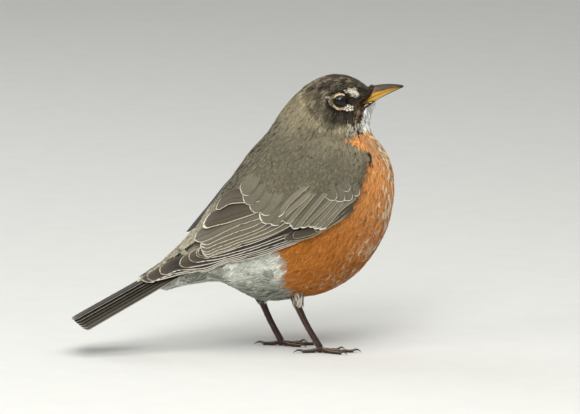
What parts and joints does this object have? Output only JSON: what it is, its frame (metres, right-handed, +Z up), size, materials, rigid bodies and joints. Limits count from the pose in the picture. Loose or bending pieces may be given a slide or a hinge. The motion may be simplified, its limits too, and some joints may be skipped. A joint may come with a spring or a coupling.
{
  "type": "american robin",
  "caption": "Life-size standing songbird with grey back, orange breast, folded wings and a low tail, made as a still museum model.",
  "frame": {"origin": "on the floor under the middle of the bird's length and width", "axes": "+X from the tail to the bill, +Y to the bird's left, +Z up"},
  "size_m": [0.2004, 0.0738, 0.1661],
  "materials": {
    "head": "black-grey short feathers, finely streaked",
    "neck": "grey-brown above, streaked white throat, orange below",
    "breast": "brick-orange breast feathers, grey back, white belly",
    "rump": "grey above, white under the tail",
    "wing": "grey-brown covert feathers with pale fringes",
    "quill": "dark flight feathers with thin pale outer edges",
    "tail": "dark tail feathers with thin pale edges",
    "thigh": "fluffy pale grey leg feathers",
    "bill": "satin yellow horn with a dark ridge and tip",
    "eye": "wet dark brown-black",
    "leg": "dark brown scaled skin",
    "claw": "dark horn"
  },
  "bodies": {
    "root": {"head": "head", "neck": "neck", "trunk": "breast", "rump": "rump", "bill_upper": "bill", "bill_lower": "bill", "tail": "tail", "eye_left": "eye", "wing_left_coverts": "wing", "wing_left_secondaries": "quill", "wing_left_primaries": "quill", "thigh_left": "thigh", "tarsus_left": "leg", "foot_left": "leg", "claw_left_hind": "claw", "claw_left_inner": "claw", "claw_left_middle": "claw", "claw_left_outer": "claw", "eye_right": "eye", "wing_right_coverts": "wing", "wing_right_secondaries": "quill", "wing_right_primaries": "quill", "thigh_right": "thigh", "tarsus_right": "leg", "foot_right": "leg", "claw_right_hind": "claw", "claw_right_inner": "claw", "claw_right_middle": "claw", "claw_right_outer": "claw"}
  },
  "joints": []
}
